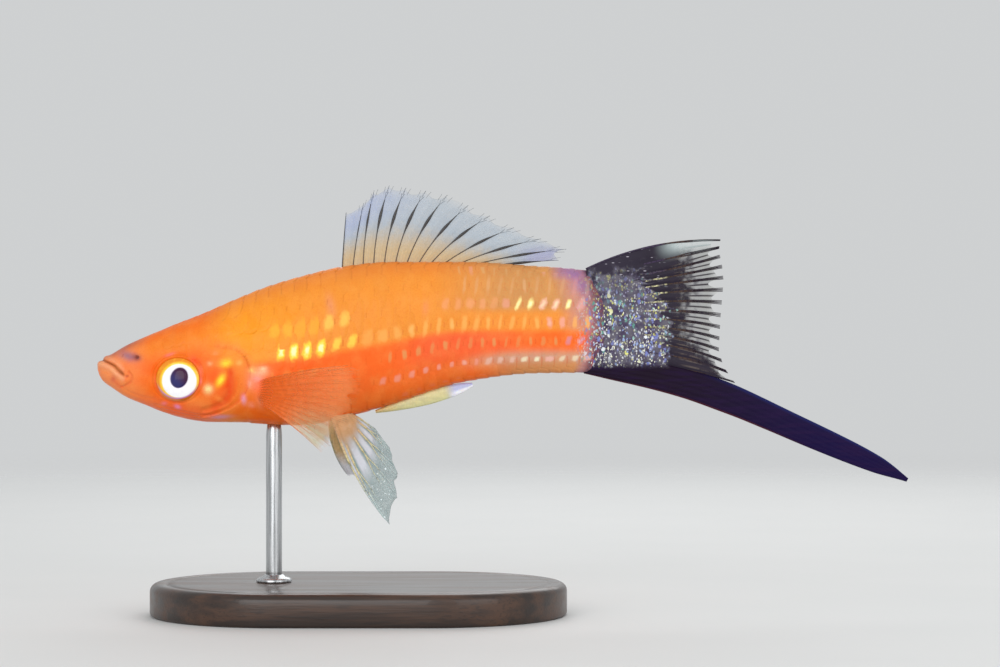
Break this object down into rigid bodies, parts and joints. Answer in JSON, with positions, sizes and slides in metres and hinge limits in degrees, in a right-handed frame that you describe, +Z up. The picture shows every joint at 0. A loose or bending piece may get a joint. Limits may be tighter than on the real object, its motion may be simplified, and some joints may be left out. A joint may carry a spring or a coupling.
{
  "type": "swordtail fish",
  "caption": "Life-size male swordtail swimming level, orange body with dark tail and long sword, fins spread, held on a small display stand.",
  "frame": {"origin": "on the ground, under the middle of the whole length from snout to sword tip and in the fish's middle plane", "axes": "+X from the snout to the tail, +Y to the fish's right side, +Z up"},
  "size_m": [0.1012, 0.034, 0.0536],
  "materials": {
    "skin": "wet scaled skin, orange with a redder flank",
    "lips": "smooth wet skin, paler than the head",
    "gill_cover": "wet skin with gold and violet glints",
    "eye": "clear wet eye, white ring and dark pupil",
    "clear_fin": "thin clear membrane with dark rays",
    "orange_fin": "thin clear orange membrane with fine rays",
    "pale_fin": "cream, glossy",
    "dark_fin": "violet black, satin, speckled near the root",
    "stand_wood": "dark wood, satin",
    "stand_steel": "brushed"
  },
  "bodies": {
    "root": {"head": "skin", "upper_lip": "lips", "lower_jaw": "lips", "gill_cover_left": "gill_cover", "gill_cover_right": "gill_cover", "eye_left": "eye", "eye_right": "eye", "trunk": "skin", "tail_stem": "skin", "dorsal_fin": "clear_fin", "tail_fin": "dark_fin", "sword": "dark_fin", "pectoral_fin_left": "orange_fin", "pectoral_fin_right": "orange_fin", "pelvic_fin_left": "clear_fin", "pelvic_fin_right": "clear_fin", "gonopodium": "pale_fin", "stand_base": "stand_wood", "stand_rod": "stand_steel"}
  },
  "joints": []
}
